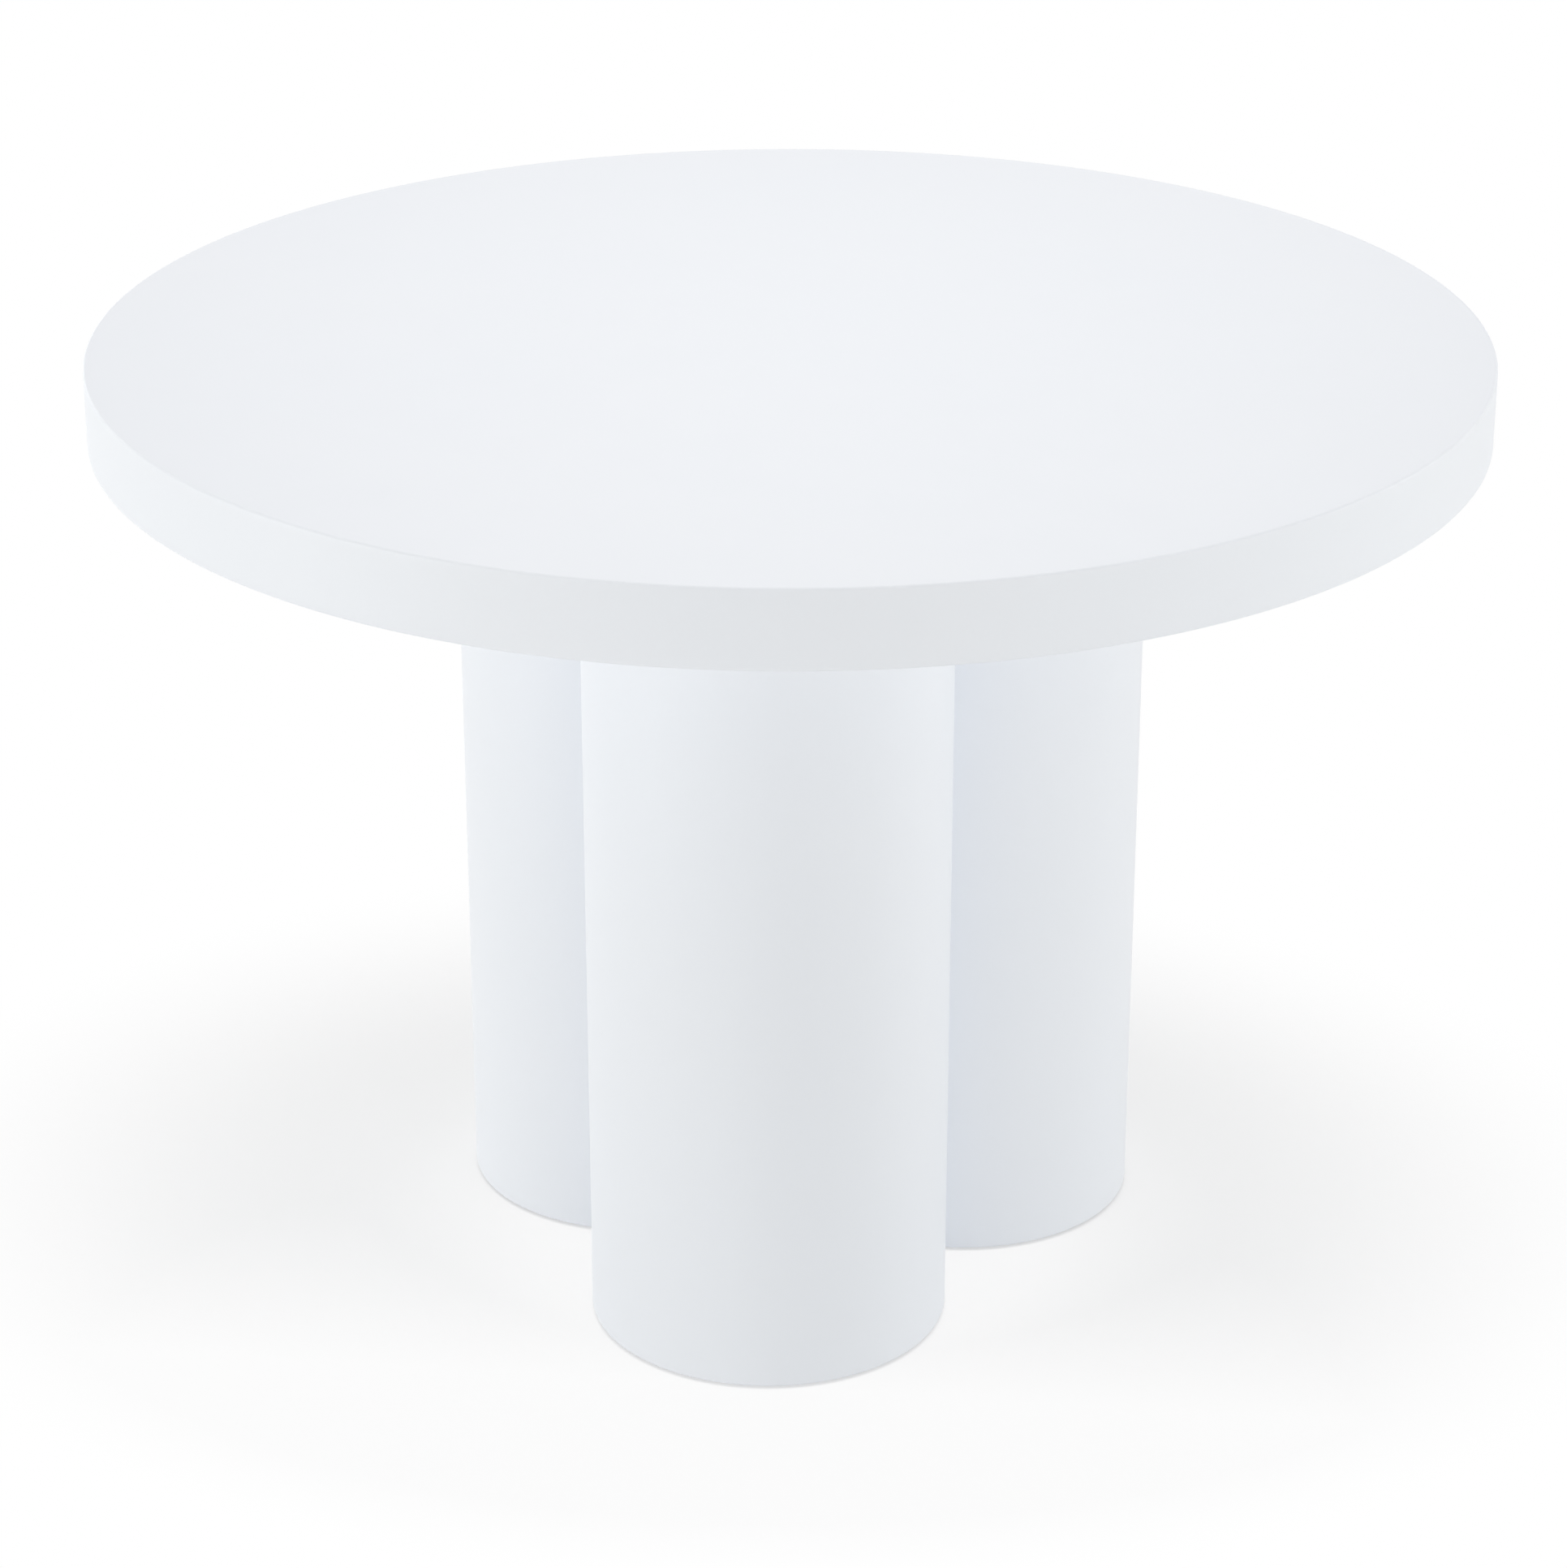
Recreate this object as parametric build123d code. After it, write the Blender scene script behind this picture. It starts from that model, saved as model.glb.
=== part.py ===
from build123d import *

import math
import os

# Round dining table: a thick lacquered top on a pedestal of three columns set in a trefoil.
# Millimetres, +Z up. The origin is on the floor under the middle of the top, and the column
# that stands forward of the other two is towards -Y.

# Overall sizes
TABLE_HEIGHT = 750.0
TOP_DIAMETER = 1067.0

# Layers of the top, from its upper face down, and the hoop that closes its edge
TOP_PANEL_THICKNESS = 19.0
CORE_DEPTH = 28.0
UNDERSIDE_THICKNESS = 12.0
HOOP_WALL = 24.0
TOP_EDGE_ROUND = 2.0
GLUE_LINE = 0.2  # between curved faces that are glued together

# Core of the top: a solid block over the columns, and ribs from it out to the hoop
BLOCK_MARGIN = 75.0  # beyond the circle of column axes
RIB_COUNT = 12
RIB_THICKNESS = 18.0

# Columns: round tubes that butt against each other on planed flats
COLUMN_DIAMETER = 280.0
COLUMN_WALL = 14.0
JOINT_FLAT_WIDTH = 84.0
COLUMN_EDGE_ROUND = 1.5
FLOOR_GAP = 2.0  # shadow gap under the columns, which stand on their levellers
TOP_PLUG_THICKNESS = 25.0
FOOT_PLUG_THICKNESS = 30.0
COLUMN_AZIMUTHS = {"front": -90.0, "right": 30.0, "left": 150.0}

# Tie rods: one down the axis of each column, from an insert in the top to a nut in the foot
ROD_DIAMETER = 10.0
ROD_HOLE_ROOM = 0.5  # radial, where the rod passes through wood
ROD_END_CHAMFER = 1.0
ROD_STICKOUT = 3.0  # past its nut
ROD_TOP_COVER = 1.0  # between the rod's upper end and the top panel
THREAD_CLEARANCE = 0.08  # radial, between a screw and its nut or insert
WASHER_DIAMETER = 26.0
WASHER_THICKNESS = 2.5
WASHER_HOLE_ROOM = 0.25  # radial
NUT_ACROSS_FLATS = 17.0
NUT_HEIGHT = 8.0
NUT_POCKET_ROOM = 3.0  # round the washer, for a socket spanner
NUT_POCKET_COVER = 1.0  # below the rod's end, down to the foot plug's lower face
TIE_FLANGE_DIAMETER = 28.0
TIE_FLANGE_THICKNESS = 2.5
TIE_BARREL_WALL = 2.0
TIE_BARREL_LENGTH = 18.0
INSERT_FIT = 0.1  # radial, round inserts and dowels

# Dowels that place the top on each column
DOWEL_DIAMETER = 10.0
DOWEL_LENGTH = 40.0
DOWEL_OFFSET = 70.0  # to each side of a column's axis
DOWEL_END_ROOM = 1.0
DOWEL_CHAMFER = 1.0

# Bolts and sleeve nuts through the flats, from the inside of one column to the next
JOINT_BOLT_DIAMETER = 6.0
JOINT_HEAD_DIAMETER = 17.0
JOINT_HEAD_THICKNESS = 3.0
JOINT_HEAD_CHAMFER = 0.8
JOINT_BARREL_WALL = 1.5
JOINT_BARREL_GAP = 4.5  # between a sleeve nut's mouth and its bolt's head
JOINT_BOLT_END_INSET = 150.0  # from each end of a column
SPOT_FACE_ROOM = 1.5  # round a bolt's head
SPOT_FACE_DEPTH = 0.3  # beyond the bore, straight out from the column's axis

# Levellers: a screw with a hex collar and a ball end that turns in a foot pad
LEVELLERS_PER_COLUMN = 3
LEVELLER_INSET = 34.0  # from the column's bore
PAD_DIAMETER = 32.0
PAD_SKIRT_HEIGHT = 3.5
PAD_EDGE_CHAMFER = 0.8
PAD_BOSS_WALL = 3.4  # round the socket
PAD_BOSS_HEIGHT = 2.0
PAD_SOCKET_FLOOR = 1.5
BALL_DIAMETER = 10.0
BALL_CLEARANCE = 0.1
NECK_DIAMETER = 6.0
NECK_ROOM = 0.8  # radial, in the mouth of the socket
NECK_SHOWING = 2.0  # between the pad and the collar
COLLAR_ACROSS_FLATS = 13.0
COLLAR_HEIGHT = 5.0
STUD_DIAMETER = 8.0
STUD_THREAD_LENGTH = 45.0
STUD_END_CHAMFER = 1.0
LEVELLER_FLANGE_DIAMETER = 20.0
LEVELLER_FLANGE_THICKNESS = 2.0
LEVELLER_BARREL_WALL = 1.5
LEVELLER_BARREL_LENGTH = 20.0

HEX_CHAMFER_ANGLE = 30.0

# Radii and the layout of the columns
TOP_RADIUS = TOP_DIAMETER / 2
HOOP_INNER_RADIUS = TOP_RADIUS - HOOP_WALL
COLUMN_RADIUS = COLUMN_DIAMETER / 2
BORE_RADIUS = COLUMN_RADIUS - COLUMN_WALL
COLUMN_SPACING = 2 * math.sqrt(COLUMN_RADIUS**2 - (JOINT_FLAT_WIDTH / 2) ** 2)
COLUMN_CIRCLE_RADIUS = COLUMN_SPACING / math.sqrt(3)
NEIGHBOUR_TURN = 150.0  # from a column's outward direction to each of its two neighbours
BLOCK_RADIUS = COLUMN_CIRCLE_RADIUS + BLOCK_MARGIN
PLUG_RADIUS = BORE_RADIUS - GLUE_LINE
LEVELLER_RADIUS = BORE_RADIUS - LEVELLER_INSET

# Fixings
ROD_HOLE_DIAMETER = ROD_DIAMETER + 2 * ROD_HOLE_ROOM
NUT_POCKET_DIAMETER = WASHER_DIAMETER + 2 * NUT_POCKET_ROOM
TIE_BARREL_DIAMETER = ROD_DIAMETER + 2 * TIE_BARREL_WALL
JOINT_BARREL_DIAMETER = JOINT_BOLT_DIAMETER + 2 * JOINT_BARREL_WALL
LEVELLER_BARREL_DIAMETER = STUD_DIAMETER + 2 * LEVELLER_BARREL_WALL
SPOT_FACE_DIAMETER = JOINT_HEAD_DIAMETER + 2 * SPOT_FACE_ROOM
JOINT_SEAT = BORE_RADIUS + SPOT_FACE_DEPTH  # from a column's axis to a bolt head's seat
JOINT_GRIP = COLUMN_SPACING - 2 * JOINT_SEAT  # both walls, between the two seats
SOCKET_RADIUS = BALL_DIAMETER / 2 + BALL_CLEARANCE
SOCKET_MOUTH_RADIUS = NECK_DIAMETER / 2 + NECK_ROOM
SOCKET_LIP = math.sqrt(SOCKET_RADIUS**2 - SOCKET_MOUTH_RADIUS**2)  # above the ball's centre

# Levels above the floor
COLUMN_TOP = TABLE_HEIGHT - TOP_PANEL_THICKNESS - CORE_DEPTH - UNDERSIDE_THICKNESS
CORE_BOTTOM = COLUMN_TOP + UNDERSIDE_THICKNESS
CORE_TOP = CORE_BOTTOM + CORE_DEPTH
BALL_CENTRE = PAD_SOCKET_FLOOR + SOCKET_RADIUS
PAD_HEIGHT = BALL_CENTRE + SOCKET_LIP
FOOT_PLUG_BOTTOM = PAD_HEIGHT + NECK_SHOWING + COLLAR_HEIGHT
NUT_SEAT = FOOT_PLUG_BOTTOM + NUT_POCKET_COVER + ROD_STICKOUT + NUT_HEIGHT + WASHER_THICKNESS
ROD_BOTTOM = FOOT_PLUG_BOTTOM + NUT_POCKET_COVER
ROD_TOP = CORE_TOP - ROD_TOP_COVER
JOINT_BOLT_LEVELS = (FLOOR_GAP + JOINT_BOLT_END_INSET, COLUMN_TOP - JOINT_BOLT_END_INSET)


def disc(diameter, bottom, top):
    """Upright cylinder on the Z axis between two levels."""
    return Pos(0, 0, bottom) * extrude(Circle(diameter / 2), top - bottom)


def turned(*points):
    """Solid turned about the Z axis from a closed profile of (radius, level) points."""
    return revolve(Plane.XZ * make_face(Polyline(*points, close=True)), Axis.Z)


def ring_section(inner, outer, bottom, top):
    """Rectangular section of a ring, drawn at its radii and levels."""
    middle = Pos((inner + outer) / 2, (bottom + top) / 2)
    return Plane.XZ * (middle * Rectangle(outer - inner, top - bottom))


def hex_prism(across_flats, bottom, top):
    """Hexagonal prism whose corners are turned off at both ends."""
    corner = across_flats / math.sqrt(3)
    flat = across_flats / 2
    slope = (corner - flat) * math.tan(math.radians(HEX_CHAMFER_ANGLE))
    prism = Pos(0, 0, bottom) * extrude(RegularPolygon(corner, 6), top - bottom)
    return prism & turned(
        (0, bottom), (flat, bottom), (corner, bottom + slope),
        (corner, top - slope), (flat, top), (0, top),
    )


def flanged_insert(flange_diameter, flange_thickness, barrel_diameter, barrel_length, screw):
    """Threaded insert with its flange's outer face at level 0 and its barrel above it."""
    bore = screw / 2 + THREAD_CLEARANCE
    end = flange_thickness + barrel_length
    return turned(
        (bore, 0), (flange_diameter / 2, 0), (flange_diameter / 2, flange_thickness),
        (barrel_diameter / 2, flange_thickness), (barrel_diameter / 2, end), (bore, end),
    )


def insert_pocket(flange_diameter, flange_thickness, barrel_diameter, depth):
    """What is cut away for a flanged insert, with its mouth at level 0."""
    return disc(flange_diameter + 2 * INSERT_FIT, 0, flange_thickness) + disc(
        barrel_diameter + 2 * INSERT_FIT, 0, depth
    )


def at_columns(piece):
    """Copies of a piece drawn on a column's own axis, one at each column."""
    return [
        Rot(0, 0, azimuth) * Pos(COLUMN_CIRCLE_RADIUS, 0, 0) * piece
        for azimuth in COLUMN_AZIMUTHS.values()
    ]


def leveller_places():
    """Places of the levellers about a column's own axis, the first of them outermost."""
    return PolarLocations(LEVELLER_RADIUS, LEVELLERS_PER_COLUMN).locations


def dowel_places():
    """Places of the two dowels about a column's own axis."""
    return [Pos(0, side * DOWEL_OFFSET, 0) for side in (-1, 1)]


def joint_places(turn):
    """Bolt axes of one flat, as places whose Z axis points out of the column."""
    return [
        Rot(0, 0, turn) * Pos(0, 0, level) * Rot(0, 90, 0) for level in JOINT_BOLT_LEVELS
    ]


def top_panel():
    """Upper disc of the top, eased along its upper edge."""
    section = ring_section(0, TOP_RADIUS, CORE_TOP, TABLE_HEIGHT)
    upper_corner = section.vertices().sort_by(Axis.X)[-2:].sort_by(Axis.Z)[-1]
    return revolve(fillet(upper_corner, TOP_EDGE_ROUND), Axis.Z)


def rim_hoop():
    """Bent hoop under the edge of the upper disc, eased along its lower edge."""
    section = ring_section(HOOP_INNER_RADIUS, TOP_RADIUS, COLUMN_TOP, CORE_TOP)
    lower_corner = section.vertices().sort_by(Axis.X)[-2:].sort_by(Axis.Z)[0]
    return revolve(fillet(lower_corner, TOP_EDGE_ROUND), Axis.Z)


def centre_block():
    """Solid middle of the core, with pockets for the tie rods' inserts and the dowels."""
    pocket = insert_pocket(
        TIE_FLANGE_DIAMETER, TIE_FLANGE_THICKNESS, TIE_BARREL_DIAMETER, CORE_DEPTH
    )
    tie_pocket = Pos(0, 0, CORE_TOP) * Rot(180, 0, 0) * pocket
    cuts = at_columns(tie_pocket)
    for place in dowel_places():
        cuts += at_columns(place * dowel_hole())
    return disc(2 * BLOCK_RADIUS, CORE_BOTTOM, CORE_TOP) - cuts


def core_ribs():
    """Ribs from the centre block out to the hoop."""
    inner = BLOCK_RADIUS + GLUE_LINE
    outer = HOOP_INNER_RADIUS - GLUE_LINE
    strip = Pos((inner + outer) / 2, 0) * Rectangle(outer - inner + HOOP_WALL, RIB_THICKNESS)
    section = strip & (Circle(outer) - Circle(inner))
    rib = Pos(0, 0, CORE_BOTTOM) * extrude(section, CORE_DEPTH)
    step = 360 / RIB_COUNT
    return [Rot(0, 0, (index + 0.5) * step) * rib for index in range(RIB_COUNT)]


def underside_panel():
    """Lower disc of the top, inside the hoop, drilled for the tie rods and dowels."""
    cuts = at_columns(disc(ROD_HOLE_DIAMETER, COLUMN_TOP, CORE_BOTTOM))
    for place in dowel_places():
        cuts += at_columns(place * dowel_hole())
    return disc(2 * (HOOP_INNER_RADIUS - GLUE_LINE), COLUMN_TOP, CORE_BOTTOM) - cuts


def tie_insert():
    """Insert for a tie rod, let into the centre block from above."""
    insert = flanged_insert(
        TIE_FLANGE_DIAMETER, TIE_FLANGE_THICKNESS,
        TIE_BARREL_DIAMETER, TIE_BARREL_LENGTH, ROD_DIAMETER,
    )
    return Pos(0, 0, CORE_TOP) * Rot(180, 0, 0) * insert


def column_shell():
    """Tube of a column with its two planed flats, drilled and spot-faced for the joint bolts."""
    outline = Circle(COLUMN_RADIUS)
    for turn in (NEIGHBOUR_TURN, -NEIGHBOUR_TURN):
        waste = Pos(COLUMN_SPACING / 2 + COLUMN_RADIUS, 0) * Rectangle(COLUMN_DIAMETER, COLUMN_DIAMETER)
        outline -= Rot(0, 0, turn) * waste
    post = Pos(0, 0, FLOOR_GAP) * extrude(outline, COLUMN_TOP - FLOOR_GAP)
    post = fillet(post.edges().group_by(Axis.Z)[0], COLUMN_EDGE_ROUND)
    tube = post - disc(2 * BORE_RADIUS, FLOOR_GAP, COLUMN_TOP)
    hole = disc(JOINT_BARREL_DIAMETER + 2 * INSERT_FIT, 0, COLUMN_RADIUS)
    spot_face = disc(SPOT_FACE_DIAMETER, 0, JOINT_SEAT)
    for turn in (NEIGHBOUR_TURN, -NEIGHBOUR_TURN):
        for place in joint_places(turn):
            tube -= place * (hole + spot_face)
    return tube


def top_plug():
    """Disc in the upper end of a column, drilled for the tie rod and the dowels."""
    bottom = COLUMN_TOP - TOP_PLUG_THICKNESS
    cuts = [disc(ROD_HOLE_DIAMETER, bottom, COLUMN_TOP)]
    cuts += [place * dowel_hole() for place in dowel_places()]
    return disc(2 * PLUG_RADIUS, bottom, COLUMN_TOP) - cuts


def foot_plug():
    """Disc above the lower end of a column, with the nut's pocket and the levellers' holes."""
    top = FOOT_PLUG_BOTTOM + FOOT_PLUG_THICKNESS
    cuts = [
        disc(ROD_HOLE_DIAMETER, FOOT_PLUG_BOTTOM, top),
        disc(NUT_POCKET_DIAMETER, FOOT_PLUG_BOTTOM, NUT_SEAT),
    ]
    pocket = insert_pocket(
        LEVELLER_FLANGE_DIAMETER, LEVELLER_FLANGE_THICKNESS,
        LEVELLER_BARREL_DIAMETER, FOOT_PLUG_THICKNESS,
    )
    cuts += [place * Pos(0, 0, FOOT_PLUG_BOTTOM) * pocket for place in leveller_places()]
    return disc(2 * PLUG_RADIUS, FOOT_PLUG_BOTTOM, top) - cuts


def tie_rod():
    """Threaded rod down a column's axis."""
    radius = ROD_DIAMETER / 2
    tip = radius - ROD_END_CHAMFER
    return turned(
        (0, ROD_BOTTOM), (tip, ROD_BOTTOM), (radius, ROD_BOTTOM + ROD_END_CHAMFER),
        (radius, ROD_TOP - ROD_END_CHAMFER), (tip, ROD_TOP), (0, ROD_TOP),
    )


def tie_washer():
    """Washer under a tie rod's nut."""
    bottom = NUT_SEAT - WASHER_THICKNESS
    hole = ROD_DIAMETER + 2 * WASHER_HOLE_ROOM
    return disc(WASHER_DIAMETER, bottom, NUT_SEAT) - disc(hole, bottom, NUT_SEAT)


def tie_nut():
    """Hexagonal nut at the foot of a tie rod."""
    top = NUT_SEAT - WASHER_THICKNESS
    bottom = top - NUT_HEIGHT
    bore = ROD_DIAMETER + 2 * THREAD_CLEARANCE
    return hex_prism(NUT_ACROSS_FLATS, bottom, top) - disc(bore, bottom, top)


def dowel():
    """Dowel with chamfered ends, half in the column and half in the top."""
    radius = DOWEL_DIAMETER / 2
    tip = radius - DOWEL_CHAMFER
    bottom = COLUMN_TOP - DOWEL_LENGTH / 2
    top = COLUMN_TOP + DOWEL_LENGTH / 2
    return turned(
        (0, bottom), (tip, bottom), (radius, bottom + DOWEL_CHAMFER),
        (radius, top - DOWEL_CHAMFER), (tip, top), (0, top),
    )


def dowel_hole():
    """Hole for a dowel, a little deeper than its ends."""
    reach = DOWEL_LENGTH / 2 + DOWEL_END_ROOM
    return disc(DOWEL_DIAMETER + 2 * INSERT_FIT, COLUMN_TOP - reach, COLUMN_TOP + reach)


def joint_bolt():
    """Bolt along Z with its head's seat at JOINT_SEAT from the column's axis."""
    head = JOINT_HEAD_DIAMETER / 2
    shank = JOINT_BOLT_DIAMETER / 2
    crown = JOINT_SEAT - JOINT_HEAD_THICKNESS
    tip = JOINT_SEAT + JOINT_GRIP
    return turned(
        (0, crown), (head - JOINT_HEAD_CHAMFER, crown), (head, crown + JOINT_HEAD_CHAMFER),
        (head, JOINT_SEAT), (shank, JOINT_SEAT), (shank, tip), (0, tip),
    )


def joint_nut():
    """Sleeve nut that meets the bolt from inside the next column."""
    head = JOINT_HEAD_DIAMETER / 2
    barrel = JOINT_BARREL_DIAMETER / 2
    bore = JOINT_BOLT_DIAMETER / 2 + THREAD_CLEARANCE
    seat = JOINT_SEAT + JOINT_GRIP
    crown = seat + JOINT_HEAD_THICKNESS
    mouth = JOINT_SEAT + JOINT_BARREL_GAP
    return turned(
        (bore, mouth), (barrel, mouth), (barrel, seat), (head, seat),
        (head, crown - JOINT_HEAD_CHAMFER), (head - JOINT_HEAD_CHAMFER, crown), (bore, crown),
    )


def leveller_insert():
    """Insert for a leveller, let into the foot plug from below."""
    insert = flanged_insert(
        LEVELLER_FLANGE_DIAMETER, LEVELLER_FLANGE_THICKNESS,
        LEVELLER_BARREL_DIAMETER, LEVELLER_BARREL_LENGTH, STUD_DIAMETER,
    )
    return Pos(0, 0, FOOT_PLUG_BOTTOM) * insert


def leveller_pad():
    """Foot pad with a skirt, a boss and the socket that traps the ball."""
    edge = PAD_DIAMETER / 2
    boss = SOCKET_RADIUS + PAD_BOSS_WALL
    body = turned(
        (0, 0), (edge - PAD_EDGE_CHAMFER, 0), (edge, PAD_EDGE_CHAMFER),
        (edge, PAD_SKIRT_HEIGHT), (boss, PAD_HEIGHT - PAD_BOSS_HEIGHT),
        (boss, PAD_HEIGHT), (0, PAD_HEIGHT),
    )
    return body - Pos(0, 0, BALL_CENTRE) * Sphere(SOCKET_RADIUS)


def leveller_stud():
    """Screw with a ball end, a neck and a hex collar that stops against the insert."""
    collar_bottom = PAD_HEIGHT + NECK_SHOWING
    thread_top = FOOT_PLUG_BOTTOM + STUD_THREAD_LENGTH
    radius = STUD_DIAMETER / 2
    thread = turned(
        (0, FOOT_PLUG_BOTTOM), (radius, FOOT_PLUG_BOTTOM),
        (radius, thread_top - STUD_END_CHAMFER),
        (radius - STUD_END_CHAMFER, thread_top), (0, thread_top),
    )
    ball = Pos(0, 0, BALL_CENTRE) * Sphere(BALL_DIAMETER / 2)
    neck = disc(NECK_DIAMETER, BALL_CENTRE, collar_bottom)
    return ball + neck + hex_prism(COLLAR_ACROSS_FLATS, collar_bottom, FOOT_PLUG_BOTTOM) + thread


def write(name, *pieces):
    """Save one node from the solids of its pieces."""
    solids = [solid for piece in pieces for solid in piece.solids()]
    export_step(Compound(solids), os.path.join("parts", f"{name}.step"))


def write_top():
    """Save the pieces of the top."""
    write("top_panel", top_panel())
    write("rim_hoop", rim_hoop())
    write("centre_block", centre_block())
    write("core_ribs", *core_ribs())
    write("underside_panel", underside_panel())
    write("tie_inserts", *at_columns(tie_insert()))


def write_columns():
    """Save the pieces of the columns and what holds them together."""
    for kind in (column_shell, top_plug, foot_plug, tie_rod):
        for name, piece in zip(COLUMN_AZIMUTHS, at_columns(kind())):
            write(f"{kind.__name__}_{name}", piece)
    write("tie_washers", *at_columns(tie_washer()))
    write("tie_nuts", *at_columns(tie_nut()))
    dowels = [piece for place in dowel_places() for piece in at_columns(place * dowel())]
    write("locating_dowels", *dowels)
    for name, kind in (("joint_bolts", joint_bolt), ("joint_nuts", joint_nut)):
        places = joint_places(NEIGHBOUR_TURN)
        write(name, *[piece for place in places for piece in at_columns(place * kind())])


def write_levellers():
    """Save the levelling feet, each pad and stud by itself."""
    places = leveller_places()
    inserts = [piece for place in places for piece in at_columns(place * leveller_insert())]
    write("leveller_inserts", *inserts)
    for kind in (leveller_pad, leveller_stud):
        for number, place in enumerate(places, start=1):
            for name, piece in zip(COLUMN_AZIMUTHS, at_columns(place * kind())):
                write(f"{kind.__name__}_{name}_{number}", piece)


os.makedirs("parts", exist_ok=True)
write_top()
write_columns()
write_levellers()
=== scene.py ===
"""Looks of a round pedestal table.

A thick lacquered top stands on three lacquered columns that butt together in a trefoil. Inside each
column a tie rod holds the top down, and three screw levellers under its foot stand on the floor.
Everything is in metres, with +Z up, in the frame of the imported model.
"""

import logging
import math
from collections.abc import Iterable, Mapping, Sequence
from dataclasses import dataclass
from enum import Enum
from typing import Any, NamedTuple

import bpy
from bpy.types import Material, Mesh, Node, NodeSocket, NodeTree, Object
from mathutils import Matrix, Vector

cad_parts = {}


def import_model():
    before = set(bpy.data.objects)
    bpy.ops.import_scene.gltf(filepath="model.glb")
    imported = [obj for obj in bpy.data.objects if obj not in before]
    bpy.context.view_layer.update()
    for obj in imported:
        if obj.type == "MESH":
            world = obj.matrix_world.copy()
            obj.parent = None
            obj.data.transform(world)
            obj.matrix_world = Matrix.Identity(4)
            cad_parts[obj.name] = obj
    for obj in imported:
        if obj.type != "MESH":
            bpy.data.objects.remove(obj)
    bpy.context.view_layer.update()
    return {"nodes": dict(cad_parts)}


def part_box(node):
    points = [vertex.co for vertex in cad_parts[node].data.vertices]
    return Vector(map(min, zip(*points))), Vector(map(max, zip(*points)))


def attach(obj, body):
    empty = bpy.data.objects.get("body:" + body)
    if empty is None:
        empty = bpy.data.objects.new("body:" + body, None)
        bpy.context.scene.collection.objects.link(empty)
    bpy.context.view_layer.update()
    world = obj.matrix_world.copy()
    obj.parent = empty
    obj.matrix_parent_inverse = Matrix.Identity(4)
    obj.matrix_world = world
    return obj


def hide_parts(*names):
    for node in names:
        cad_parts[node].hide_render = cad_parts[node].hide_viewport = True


LOG = logging.getLogger("pedestal_table")
MM = 0.001
PHOTO_WIDTH = 1931
PHOTO_HEIGHT = 1932
TABLE_BODY = "table"
GLUE_LINE = 0.2 * MM  # room between curved faces that are glued together
LEVELLERS_PER_COLUMN = 3
HEX_SIDES = 6
HEX_CORNER_SLOPE = math.tan(math.radians(30))  # of the chamfer that takes a hexagon's corners off
ORIGIN = (0.0, 0.0, 0.0)
PLAIN_WHITE = "#FFFFFF"
MATH = "ShaderNodeMath"
MIX_A, MIX_B, MIXED = 6, 7, 2  # colour sockets of a mix node, which has others of the same names

Point = tuple[float, float]
Span = tuple[float, float]  # from one end of a range to the other
Colour = tuple[float, float, float, float]
Source = Node | NodeSocket  # what an input is linked to; a node stands for its first output


class Slot(Enum):
    """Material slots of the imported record."""

    LACQUER = "white_lacquer"
    FIBREBOARD = "bare_fibreboard"
    BEECH = "beech_dowel"
    ZINC = "galvanised_steel"
    NYLON = "grey_nylon"


class ColumnName(Enum):
    """The three columns, by where they stand."""

    FRONT = "front"
    RIGHT = "right"
    LEFT = "left"


def linear(hex_colour: str) -> Colour:
    """Turn an sRGB hex colour into a linear one.

    Args:
        hex_colour: Colour such as "#EEF0F4".

    Returns:
        Linear red, green and blue, and full opacity.
    """
    channels = [int(hex_colour[start:start + 2], 16) / 255 for start in (1, 3, 5)]
    red, green, blue = (
        value / 12.92 if value <= 0.04045 else ((value + 0.055) / 1.055) ** 2.4 for value in channels
    )
    return red, green, blue, 1.0


def add_node(
    tree: NodeTree, kind: str, inputs: Mapping[str | int, Any] | None = None, **settings: Any
) -> Node:
    """Add a node with its settings, and set or link its input sockets.

    Args:
        tree: Tree that gets the node.
        kind: Type name of the node.
        inputs: Sockets by name or index, each with a constant or the source that it is linked to.
        **settings: Properties of the node itself.

    Returns:
        The new node.
    """
    node = tree.nodes.new(kind)
    for name, value in settings.items():
        setattr(node, name, value)
    for key, value in (inputs or {}).items():
        source = value.outputs[0] if isinstance(value, Node) else value
        if isinstance(source, NodeSocket):
            tree.links.new(source, node.inputs[key])
        else:
            node.inputs[key].default_value = source
    return node


def new_material(name: str) -> tuple[Material, NodeTree]:
    """Make an empty node material.

    Args:
        name: What the real material is.

    Returns:
        The material and its empty tree.
    """
    material = bpy.data.materials.new(name)
    material.use_nodes = True
    material.node_tree.nodes.clear()
    return material, material.node_tree


def looking(tree: NodeTree) -> Source:
    """Whether a ray looks at a surface, straight or by way of metal or glass, and does not light it.

    Args:
        tree: Tree of the material or the world.

    Returns:
        1 for a ray that looks, or else 0.
    """
    rays = add_node(tree, "ShaderNodeLightPath").outputs
    found = rays["Is Camera Ray"]
    for kind in ("Is Glossy Ray", "Is Transmission Ray"):
        found = add_node(tree, MATH, {0: found, 1: rays[kind]}, operation="MAXIMUM")
    return found


class Pattern(NamedTuple):
    """Cloudy noise of a real size."""

    size: float
    detail: float


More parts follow.
